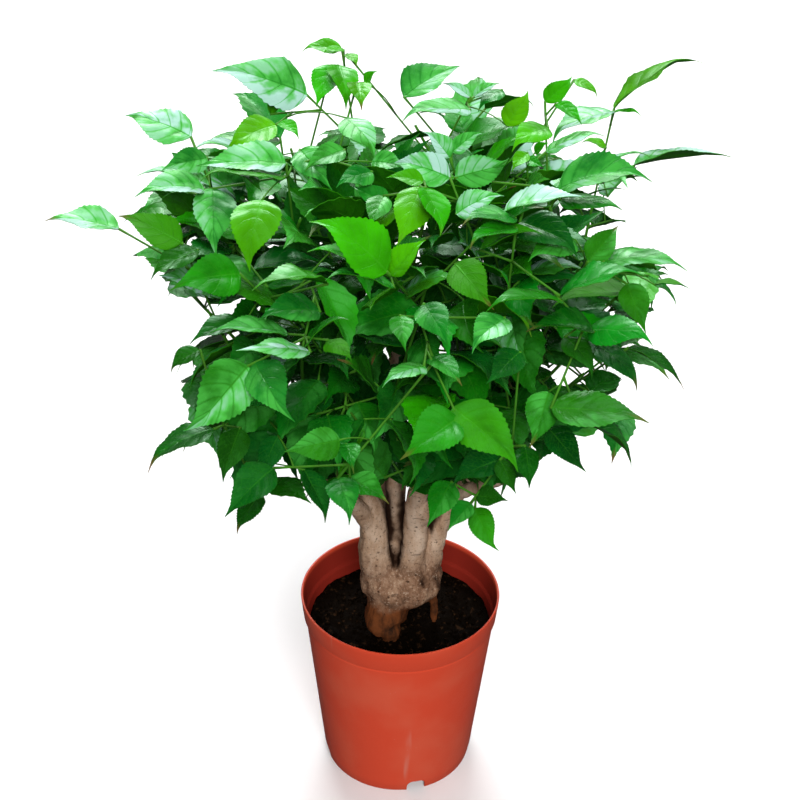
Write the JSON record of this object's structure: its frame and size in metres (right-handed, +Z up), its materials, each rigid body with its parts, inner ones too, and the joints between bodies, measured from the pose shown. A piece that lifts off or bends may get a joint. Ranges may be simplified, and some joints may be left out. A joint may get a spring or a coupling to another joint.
{
  "type": "potted china doll plant",
  "caption": "Bushy china doll plant with toothed, drip-tipped leaflets on thin stems from a knotted trunk, standing in soil in a round tapered nursery pot with a banded rim.",
  "frame": {"origin": "on the ground under the middle of the pot, which is also the middle of the plant's bounding box to within a few millimetres", "axes": "+Z up along the pot's axis, -Y towards the front of the plant, +X to its right as seen from the front"},
  "size_m": [0.584, 0.6209, 0.7366],
  "materials": {
    "pot": "semi-matte moulded red plastic, lightly scuffed",
    "soil": "moist dark potting soil, matte and granular",
    "bark": "matte tan bark with fine cracks and scars",
    "leaf": "glossy fresh green leaves, lighter and matte beneath, on smooth green stalks"
  },
  "bodies": {
    "root": {"leafy_stem_01": "leaf", "leafy_stem_02": "leaf", "leafy_stem_03": "leaf", "leafy_stem_04": "leaf", "leafy_stem_05": "leaf", "leafy_stem_06": "leaf", "leafy_stem_07": "leaf", "leafy_stem_08": "leaf", "leafy_stem_09": "leaf", "leafy_stem_10": "leaf", "leafy_stem_11": "leaf", "leafy_stem_12": "leaf", "leafy_stem_13": "leaf", "leafy_stem_14": "leaf", "leafy_stem_15": "leaf", "leafy_stem_16": "leaf", "leafy_stem_17": "leaf", "leafy_stem_18": "leaf", "leafy_stem_19": "leaf", "leafy_stem_20": "leaf", "leafy_stem_21": "leaf", "leafy_stem_22": "leaf", "leafy_stem_23": "leaf", "leafy_stem_24": "leaf", "leafy_stem_25": "leaf", "leafy_stem_26": "leaf", "leafy_stem_27": "leaf", "leafy_stem_28": "leaf", "leafy_stem_29": "leaf", "leafy_stem_30": "leaf", "pot": "pot", "soil": "soil", "trunk": "bark"}
  },
  "joints": []
}
